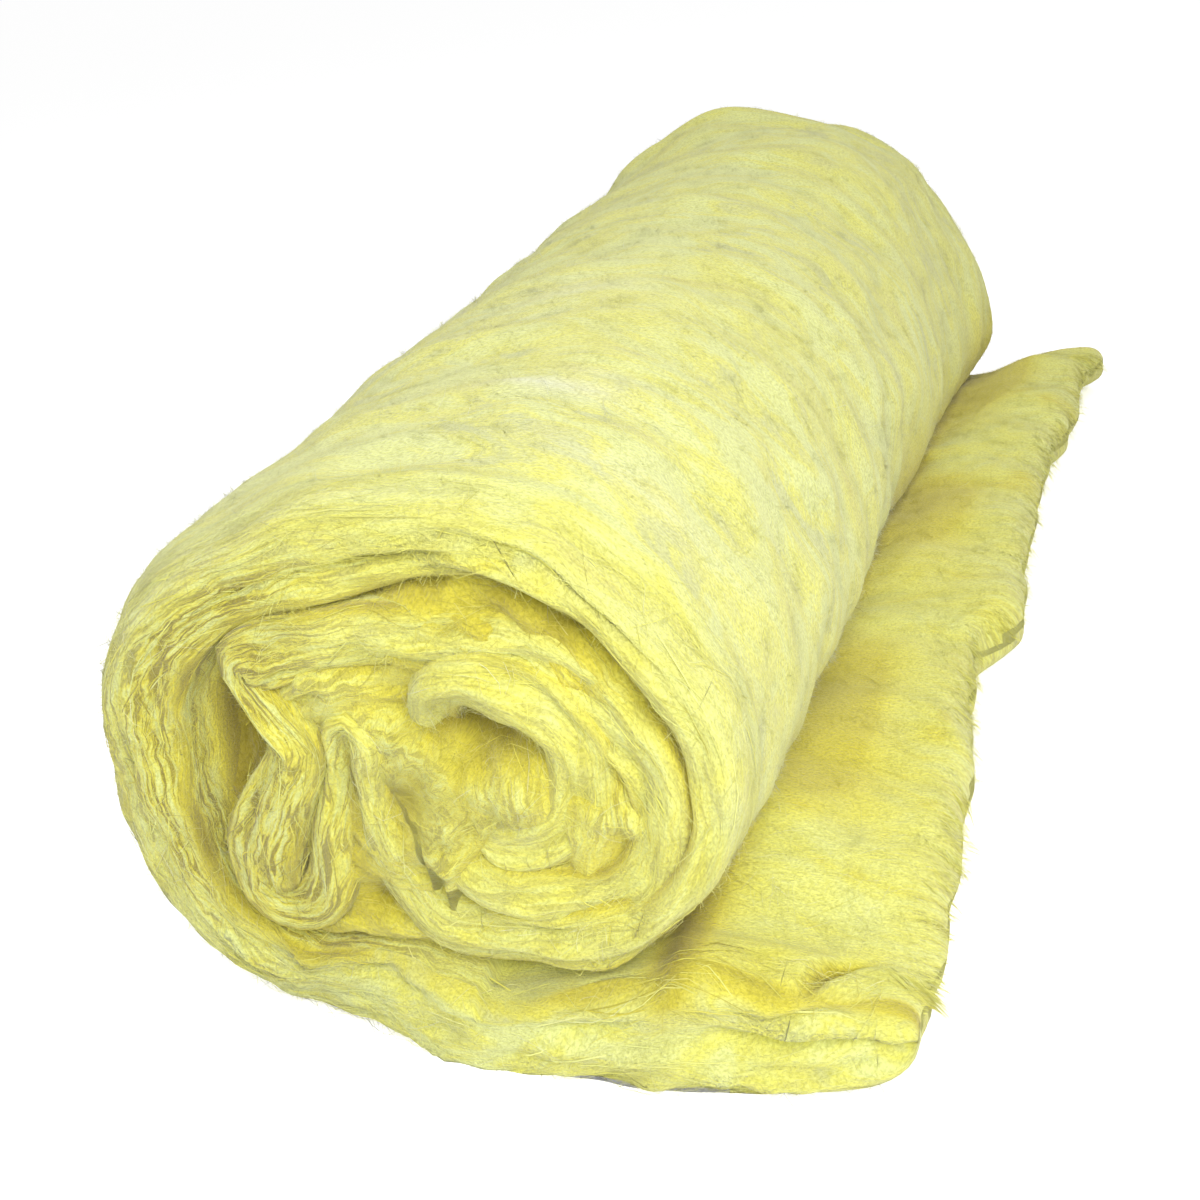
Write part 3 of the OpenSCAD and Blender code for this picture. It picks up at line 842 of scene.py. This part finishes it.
def place_piece(piece, colours):
    """Gives a finished piece the wool's material, and lets it ride on the object's body."""
    piece.data.materials.clear()
    piece.data.materials.append(bpy.data.materials.get("matted_wool") or wool_material(colours))
    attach(piece, BODY)
    return piece


def write_field(mesh, name, values):
    """Stores a value or a vector for each point of a mesh, for its material."""
    kind, key = ("FLOAT_VECTOR", "vector") if values.ndim == 2 else ("FLOAT", "value")
    mesh.attributes.new(name, kind, "POINT").data.foreach_set(key, values.astype(np.float32).ravel())


def wrap_grid(name, grid, around_columns):
    """A flat grid from the menu, with each of its points moved into place, and its open sides joined up."""
    rows, columns = grid.points.shape[:2]
    across, along = (columns, rows - 1) if around_columns else (columns - 1, rows)
    deselect_all()
    bpy.ops.mesh.primitive_grid_add(x_subdivisions=along, y_subdivisions=across, size=1)
    piece = bpy.context.object
    piece.name = piece.data.name = name
    mesh = piece.data
    place = np.empty(len(mesh.vertices) * 3)
    mesh.vertices.foreach_get("co", place)
    place = place.reshape(-1, 3)
    i = np.rint((place[:, 0] + 0.5) * along).astype(int) % rows
    j = np.rint((place[:, 1] + 0.5) * across).astype(int) % columns
    mesh.vertices.foreach_set("co", grid.points[i, j].ravel())
    write_field(mesh, "flat", grid.flat[i, j])
    for field, values in grid.fields.items():
        write_field(mesh, field, values[i, j])
    bpy.ops.object.mode_set(mode="EDIT")
    bpy.ops.mesh.select_all(action="SELECT")
    bpy.ops.mesh.remove_doubles(threshold=0.01 * MM)
    bpy.ops.mesh.normals_make_consistent(inside=False)
    bpy.ops.object.mode_set(mode="OBJECT")
    bpy.ops.object.shade_smooth()
    return piece


class Skin:
    """A stretch of a grid that loose fibres lie on."""

    def __init__(self, grid, rows, ring, rooted=slice(None)):
        def part(field):
            return field[rows][:, ring]

        self.points, self.normal, self.flat = part(grid.points), part(grid.normal), part(grid.flat)
        self.fields = {name: part(values) for name, values in grid.fields.items()}
        self.rows, self.columns = self.points.shape[:2]
        self.row_step = np.linalg.norm(np.gradient(self.points, axis=0), axis=2)
        self.column_step = np.linalg.norm(np.gradient(self.points, axis=1), axis=2)
        # Bunches grow out of the rooted columns alone, but may lie over the rest
        self.area = np.zeros((self.rows - 1, self.columns - 1))
        self.area[:, rooted] = (self.row_step * self.column_step)[:-1, :-1][:, rooted]

    def sample(self, field, i, j):
        """Value of a field between the grid's points, at row i and column j."""
        i = np.clip(i, 0, self.rows - 1.001)
        j = np.clip(j, 0, self.columns - 1.001)
        i0, j0 = i.astype(int), j.astype(int)
        ti, tj = i - i0, j - j0
        if field.ndim == 3:
            ti, tj = ti[..., None], tj[..., None]
        near = mix(field[i0, j0], field[i0, j0 + 1], tj)
        far = mix(field[i0 + 1, j0], field[i0 + 1, j0 + 1], tj)
        return mix(near, far, ti)

    def roots(self, rng, count):
        """Random places on the skin, evenly by area."""
        cell = rng.choice(self.area.size, count, p=self.area.ravel() / self.area.sum())
        i, j = np.divmod(cell, self.columns - 1)
        return i + rng.random(count), j + rng.random(count)

    def colouring(self, rng, i, j, wisp, scatter):
        """What gives each fibre its colour: the wool round its root, and how far it is a pale wisp."""
        fields = {name: self.sample(values, i, j) for name, values in self.fields.items()}
        fields["flat"] = self.sample(self.flat, i, j) + rng.normal(0, scatter, (len(i), 3))
        patch = np.maximum(noise(*(fields["flat"].T / 0.1), 51), 0)
        strand = np.clip(wisp * (0.5 + 1.5 * patch) * rng.exponential(1, len(i)), 0, 1)
        fields["wisp"] = np.maximum(fields["wisp"], strand * (1 - 0.8 * fields["painted_shade"]))
        return fields


class Strands:
    """Strands of wool lying on a skin, gathered to be joined into one mesh.

    A strand takes its colour from about as far off its root as scatter, and matted is how far its shading is
    the skin's.
    """

    def __init__(self, skin, seed, scatter, matted):
        self.skin, self.scatter, self.matted = skin, scatter, matted
        self.rng = np.random.default_rng(seed)
        self.vertices, self.faces, self.normals, self.colouring, self.total = [], [], [], [], 0

    def lay(self, count, length, spread, height, radius, wisp, stray, points, bunch, curly=0.2):
        """Strands along the strip, give or take spread degrees, rising about height, and lying in bunches."""
        skin, rng = self.skin, self.rng
        bunches = max(count // bunch, 1)
        ti, tj = skin.roots(rng, bunches)
        owner = rng.integers(0, bunches, count)
        reach = length * np.exp(rng.normal(0, LENGTH_VARIES, count))
        turn = np.radians(rng.normal(0, spread, bunches)[owner] + rng.normal(0, spread * TURN_VARIES, count))
        turn = np.where(rng.random(count) < stray, rng.random(count) * 2 * math.pi, turn)
        turn = turn + np.where(rng.random(count) < 0.5, math.pi, 0)
        row = np.maximum(skin.sample(skin.row_step, ti, tj), 1 * MM)[owner]
        column = np.maximum(skin.sample(skin.column_step, ti, tj), 1 * MM)[owner]
        i0 = ti[owner] + rng.normal(0, ROOTS_ALONG, count) * length / row
        j0 = tj[owner] + rng.normal(0, ROOTS_ACROSS, count) * length / column
        i0 = np.where((i0 < 0) | (i0 > skin.rows - 1), ti[owner], i0)
        j0 = np.where((j0 < 0) | (j0 > skin.columns - 1), tj[owner], j0)
        curl = rng.normal(0, curly, count) * reach
        rise = np.minimum(np.abs(rng.normal(0, 1, bunches)), RISE_LIMIT)[owner] * height
        rise = rise * rng.uniform(*RISE_RANGE, count)
        settle = (rng.random(count) < SETTLED) & (points > 2)
        paths = []
        for t in np.linspace(0, 1, points):
            i = i0 + (np.cos(turn) * reach * t - np.sin(turn) * curl * t * t) / row
            j = j0 + (np.sin(turn) * reach * t + np.cos(turn) * curl * t * t) / column
            off = np.where(settle, rise * ARCH * t * (1 - t), rise * t) - ROOT_DEPTH * (1 - t)
            paths.append(skin.sample(skin.points, i, j) + skin.sample(skin.normal, i, j) * off[:, None])
        thick = radius * rng.uniform(*WIDTH_RANGE, count)
        colouring = skin.colouring(rng, i0, j0, wisp, self.scatter)
        self.add(np.stack(paths, 1), skin.sample(skin.normal, i0, j0), thick, colouring)

    def fringe(self, count, length, radius, wisp, bunch, droop):
        """Strands that stand out from the skin's first row, as from a torn edge, and droop a little."""
        skin, rng = self.skin, self.rng
        clumps = count // bunch
        owner = rng.integers(0, clumps, count)
        i = rng.random(count) * LIP_STATIONS
        j = rng.random(clumps)[owner] * (skin.columns - 1) + rng.normal(0, 0.12, count)
        root = skin.sample(skin.points, i, j)
        out = skin.sample(skin.points, 0 * i, j) - skin.sample(skin.points, 0 * i + 16, j)
        out = out / np.linalg.norm(out, axis=1, keepdims=True) + rng.normal(0, 0.3, (clumps, 3))[owner]
        out = out + rng.normal(0, 0.15, (count, 3))
        reach = length * np.minimum(rng.exponential(1, clumps), 2.2)[owner] * rng.uniform(0.6, 1.1, count)
        reach = reach[:, None]
        fall = np.array([0, 0, droop]) * reach
        paths = [root + out * reach * t - fall * t * t for t in (-0.2, 0.4, 1.0)]
        upward = np.tile([0.0, 0.0, 1.0], (count, 1))
        thick = radius * rng.uniform(*WIDTH_RANGE, count)
        self.add(np.stack(paths, 1), upward, thick, skin.colouring(rng, i, j, wisp, self.scatter))

    def add(self, paths, upward, radius, colouring):
        """Thin ribbons along the paths, ridged and closed, each with a pointed tip."""
        count, points = paths.shape[:2]
        along = np.gradient(paths, axis=1)
        along /= np.maximum(np.linalg.norm(along, axis=2, keepdims=True), 1e-9)
        side = np.cross(along, upward[:, None, :])
        side /= np.maximum(np.linalg.norm(side, axis=2, keepdims=True), 1e-9)
        lifted = np.cross(side, along)
        rings, facing = [], []
        for k in range(points - 1):
            thick = radius * math.sin(math.pi * (0.3 + 0.6 * k / (points - 1)))
            for corner in np.radians((90, 210, 330)):
                across, up = math.cos(corner) * side[:, k], math.sin(corner) * lifted[:, k]
                rings.append(paths[:, k] + (across + RIDGE * up) * thick[:, None])
                facing.append(mix(across + up, upward, self.matted))
        rings.append(paths[:, -1])
        facing.append(upward)
        each = len(rings)
        faces = [(0, 1, 2)]
        for k in range(points - 2):
            for c in range(3):
                a, b = 3 * k + c, 3 * k + (c + 1) % 3
                faces += [(a, b + 3, b), (a, a + 3, b + 3)]
        last = 3 * (points - 2)
        faces += [(last + (c + 1) % 3, last + c, each - 1) for c in range(3)]
        places = self.total + (np.arange(count) * each)[:, None, None]
        self.faces.append((np.array(faces)[None] + places).reshape(-1, 3))
        self.vertices.append(np.stack(rings, 1).reshape(-1, 3))
        self.normals.append(np.stack(facing, 1).reshape(-1, 3))
        self.colouring.append({name: np.repeat(values, each, axis=0) for name, values in colouring.items()})
        self.total += count * each

    def make(self, piece_name, colours):
        """Joins the strands into one finished piece."""
        vertices = np.concatenate(self.vertices)
        vertices[:, 2] = np.maximum(vertices[:, 2], 0)
        mesh = bpy.data.meshes.new(piece_name)
        mesh.from_pydata(vertices, [], np.concatenate(self.faces).tolist())
        mesh.shade_smooth()
        normals = np.concatenate(self.normals)
        normals /= np.maximum(np.linalg.norm(normals, axis=1, keepdims=True), 1e-9)
        mesh.normals_split_custom_set_from_vertices(normals)
        for name in self.colouring[0]:
            write_field(mesh, name, np.concatenate([values[name] for values in self.colouring]))
        piece = bpy.data.objects.new(piece_name, mesh)
        bpy.context.collection.objects.link(piece)
        return place_piece(piece, colours)


# Operators

class WOOL_OT_wind_blanket(bpy.types.Operator):
    """Winds the flat blanket into the roll, with lumps, torn layers and a ragged cut"""

    bl_idname = "wool.wind_blanket"
    bl_label = "Wind Blanket"

    def execute(self, context):
        piece = wrap_grid("wound_blanket", BlanketGrid(context.scene.wool_sizes), around_columns=True)
        place_piece(piece, context.scene.wool_colours)
        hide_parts(NODE)
        return {"FINISHED"}


class WOOL_OT_stuff_hollows(bpy.types.Operator):
    """Stuffs loose wool into the inner coil, behind its hollows, and teases fibres out of it"""

    bl_idname = "wool.stuff_hollows"
    bl_label = "Stuff Hollows"

    def execute(self, context):
        grid = FillingGrid(context.scene.wool_sizes)
        piece = wrap_grid("loose_filling", grid, around_columns=False)
        place_piece(piece, context.scene.wool_colours)
        locks, fibres, tufts = context.scene.wool_fibres.hollows
        skin = Skin(grid, np.arange(FILLING_ROUND), np.arange(1, FILLING_OUT - 1))
        strands = Strands(skin, seed=46, scatter=2 * MM, matted=0.6)
        strands.lay(locks, **HOLLOW_LOCKS)
        strands.lay(fibres, **HOLLOW_FIBRES)
        strands.lay(tufts, **HOLLOW_TUFTS)
        strands.make("hollow_fibres", context.scene.wool_colours)
        return {"FINISHED"}


class WOOL_OT_tease_ends(bpy.types.Operator):
    """Teases locks, loose fibres and tufts out of the torn layers at both ends of the roll"""

    bl_idname = "wool.tease_ends"
    bl_label = "Tease Out Ends"

    def execute(self, context):
        grid = BlanketGrid(context.scene.wool_sizes)
        counts = context.scene.wool_fibres
        rows = np.arange(LIP_STATIONS, STATIONS - LIP_STATIONS)
        near = np.arange(-THROUGH - EDGE_MARGIN, EDGE_MARGIN) % grid.ring
        far = np.arange(ACROSS - EDGE_MARGIN, ACROSS + THROUGH + EDGE_MARGIN)
        for name, ring, (locks, fibres, tufts), seed in (
                ("near_end_fibres", near, counts.near_end, 41),
                ("far_end_fibres", far, counts.far_end, 42)):
            strands = Strands(Skin(grid, rows, ring), seed, scatter=1 * MM, matted=0.6)
            strands.lay(locks, **END_LOCKS)
            strands.lay(fibres, **END_FIBRES)
            strands.lay(tufts, **END_TUFTS)
            strands.make(name, context.scene.wool_colours)
        return {"FINISHED"}


class WOOL_OT_tease_outside(bpy.types.Operator):
    """Teases loose fibres and tufts out of the outside of the outer turn"""

    bl_idname = "wool.tease_outside"
    bl_label = "Tease Out Outside"

    def execute(self, context):
        grid = BlanketGrid(context.scene.wool_sizes)
        counts = context.scene.wool_fibres
        rows = np.flatnonzero((grid.turn > 0.06) & (grid.turn < FOLDS_FROM))
        half = ACROSS // 2
        for name, rooted, (fibres, tufts), seed in (
                ("near_outside_fibres", slice(0, half), counts.near_outside, 43),
                ("far_outside_fibres", slice(half, ACROSS), counts.far_outside, 44)):
            strands = Strands(Skin(grid, rows, np.arange(ACROSS), rooted), seed, scatter=2 * MM, matted=0.8)
            strands.lay(fibres, **OUTSIDE_FIBRES)
            strands.lay(tufts, **OUTSIDE_TUFTS)
            strands.make(name, context.scene.wool_colours)
        return {"FINISHED"}


class WOOL_OT_tease_loose_end(bpy.types.Operator):
    """Teases loose fibres and tufts out of the top and the ragged cut of the loose end"""

    bl_idname = "wool.tease_loose_end"
    bl_label = "Tease Out Loose End"

    def execute(self, context):
        grid = BlanketGrid(context.scene.wool_sizes)
        counts = context.scene.wool_fibres
        rows = np.flatnonzero((grid.turn <= 0) & (grid.s < grid.tail_length * LOOSE_SHARE))
        top = np.arange(ACROSS + THROUGH, 2 * ACROSS + THROUGH)
        fibres, tufts = counts.loose_end
        strands = Strands(Skin(grid, rows, top), seed=45, scatter=2 * MM, matted=0.75)
        strands.lay(fibres, **LOOSE_FIBRES)
        strands.lay(tufts, **LOOSE_TUFTS)
        strands.fringe(counts.fringe, **FRINGE)
        strands.make("loose_end_fibres", context.scene.wool_colours)
        return {"FINISHED"}


class WOOL_OT_build_stage(bpy.types.Operator):
    """Builds the plain floor, the soft lights and the camera"""

    bl_idname = "wool.build_stage"
    bl_label = "Build Stage"

    def execute(self, context):
        deselect_all()
        bpy.ops.mesh.primitive_plane_add(size=FLOOR_SIZE, location=(0, 0, 0))
        floor = context.object
        floor.name = "floor"
        floor.data.materials.append(self.floor_material())
        self.light("key_light", **KEY_LIGHT)
        self.light("top_light", **TOP_LIGHT)
        self.world(context.scene)
        self.camera(context.scene)
        context.scene.view_settings.view_transform = "Standard"
        return {"FINISHED"}

    def floor_material(self):
        """White, and a little brighter to the camera, so that it meets the background but keeps shadows."""
        material, nodes, links = new_material("floor_white")
        nodes.remove(nodes["Principled BSDF"])
        diffuse = nodes.new("ShaderNodeBsdfDiffuse")
        diffuse.inputs["Color"].default_value = (FLOOR_WHITE, FLOOR_WHITE, FLOOR_WHITE, 1)
        glow = nodes.new("ShaderNodeEmission")
        strength = self.seen(nodes, links, 0.0, FLOOR_GLOW)
        links.new(strength, glow.inputs["Strength"])
        both = nodes.new("ShaderNodeAddShader")
        links.new(diffuse.outputs["BSDF"], both.inputs[0])
        links.new(glow.outputs["Emission"], both.inputs[1])
        links.new(both.outputs["Shader"], nodes["Material Output"].inputs["Surface"])
        return material

    def seen(self, nodes, links, unseen, seen):
        """One value for rays that the camera sees, also in a mirror or glass, and another for the rest."""
        path = nodes.new("ShaderNodeLightPath")
        share = maths(nodes, links, "MAXIMUM", path.outputs["Is Camera Ray"], path.outputs["Is Glossy Ray"])
        share = maths(nodes, links, "MAXIMUM", share, path.outputs["Is Transmission Ray"])
        value = nodes.new("ShaderNodeMapRange")
        value.inputs["To Min"].default_value = unseen
        value.inputs["To Max"].default_value = seen
        links.new(share, value.inputs["Value"])
        return value.outputs["Result"]

    def light(self, name, place, target, size, power):
        bpy.ops.object.light_add(type="AREA", location=place)
        lamp = bpy.context.object
        lamp.name = name
        lamp.data.shape = "DISK"
        lamp.data.size = size
        lamp.data.energy = power
        lamp.rotation_euler = (Vector(target) - Vector(place)).to_track_quat("-Z", "Y").to_euler()

    def world(self, scene):
        world = scene.world or bpy.data.worlds.new("studio")
        scene.world = world
        world.use_nodes = True
        nodes, links = world.node_tree.nodes, world.node_tree.links
        nodes.clear()
        background = nodes.new("ShaderNodeBackground")
        background.inputs["Color"].default_value = (1, 1, 1, 1)
        links.new(self.seen(nodes, links, WORLD_LIGHT, WORLD_SEEN), background.inputs["Strength"])
        output = nodes.new("ShaderNodeOutputWorld")
        links.new(background.outputs["Background"], output.inputs["Surface"])

    def camera(self, scene):
        bpy.ops.object.camera_add(location=CAMERA_PLACE)
        camera = bpy.context.object
        camera.name = "photo_camera"
        camera.data.lens = CAMERA_LENS
        camera.data.sensor_width = CAMERA_SENSOR
        camera.data.sensor_fit = "HORIZONTAL"
        camera.data.clip_end = 50
        yaw, pitch, roll = (math.radians(a) for a in (CAMERA_YAW, CAMERA_PITCH, CAMERA_ROLL))
        turned = Matrix.Rotation(yaw, 4, "Z") @ Matrix.Rotation(math.pi / 2 - pitch, 4, "X")
        camera.matrix_world = Matrix.Translation(CAMERA_PLACE) @ turned @ Matrix.Rotation(roll, 4, "Z")
        scene.camera = camera


class WOOL_PT_panel(bpy.types.Panel):
    """Lists the sizes, the colours and the steps of the roll"""

    bl_idname = "WOOL_PT_panel"
    bl_label = "Glass Wool Roll"
    bl_space_type = "VIEW_3D"
    bl_region_type = "UI"
    bl_category = "Wool Roll"

    def draw(self, context):
        layout = self.layout
        for group in (context.scene.wool_sizes, context.scene.wool_colours, context.scene.wool_fibres):
            box = layout.box()
            for name in group.__annotations__:
                box.prop(group, name)
        for operator in OPERATORS:
            layout.operator(operator.bl_idname)


GROUPS = (RollSizes, WoolColours, FibreCounts)
OPERATORS = (WOOL_OT_build_stage, WOOL_OT_wind_blanket, WOOL_OT_stuff_hollows, WOOL_OT_tease_ends,
             WOOL_OT_tease_outside, WOOL_OT_tease_loose_end)


def register():
    for cls in (*GROUPS, *OPERATORS, WOOL_PT_panel):
        bpy.utils.register_class(cls)
    bpy.types.Scene.wool_sizes = PointerProperty(type=RollSizes)
    bpy.types.Scene.wool_colours = PointerProperty(type=WoolColours)
    bpy.types.Scene.wool_fibres = PointerProperty(type=FibreCounts)


def unregister():
    del bpy.types.Scene.wool_fibres
    del bpy.types.Scene.wool_colours
    del bpy.types.Scene.wool_sizes
    for cls in reversed((*GROUPS, *OPERATORS, WOOL_PT_panel)):
        bpy.utils.unregister_class(cls)


def main():
    register()
    bpy.ops.wool.build_stage()
    bpy.ops.wool.wind_blanket()
    bpy.ops.wool.stuff_hollows()
    bpy.ops.wool.tease_ends()
    bpy.ops.wool.tease_outside()
    bpy.ops.wool.tease_loose_end()


if __name__ == "__main__":
    main()
